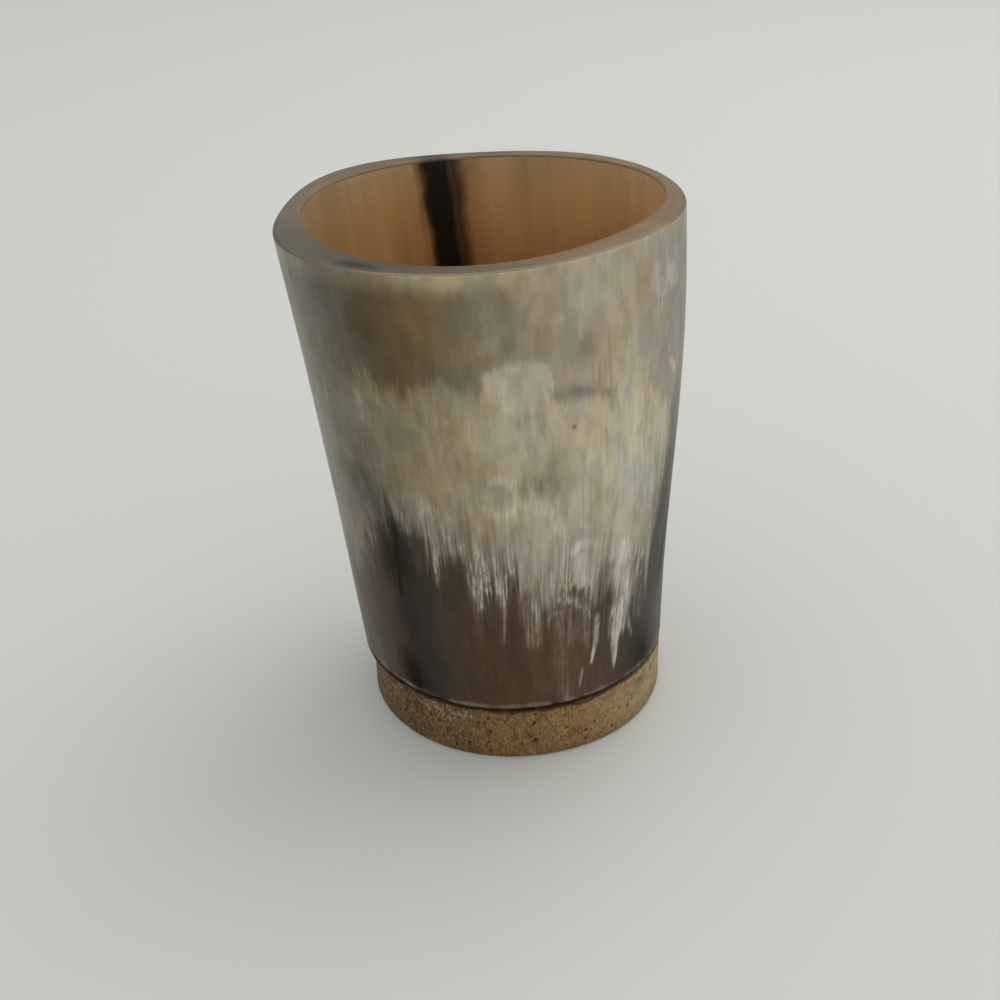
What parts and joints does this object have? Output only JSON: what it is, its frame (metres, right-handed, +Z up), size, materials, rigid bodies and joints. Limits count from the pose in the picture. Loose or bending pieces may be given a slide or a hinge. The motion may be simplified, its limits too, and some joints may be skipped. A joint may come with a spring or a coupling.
{
  "type": "horn drinking cup",
  "caption": "Tapered beaker of natural horn with an open flat rim of uneven thickness, glued over the spigot of a turned wooden base and sealed inside, for drinking.",
  "frame": {"origin": "centre of the round wooden base's underside, on the surface that the cup stands on", "axes": "+Z up along the base's axis towards the open rim; +X towards the side where the wall is steeper; -Y towards the viewer of the picture"},
  "size_m": [0.0689, 0.0674, 0.0953],
  "materials": {
    "horn": "polished",
    "wood": "sanded and oiled",
    "glue": "cured, dark",
    "seal": "poured, glossy"
  },
  "bodies": {
    "root": {"horn_wall": "horn", "wooden_base": "wood", "glue_seam": "glue", "floor_seal": "seal"}
  },
  "joints": []
}
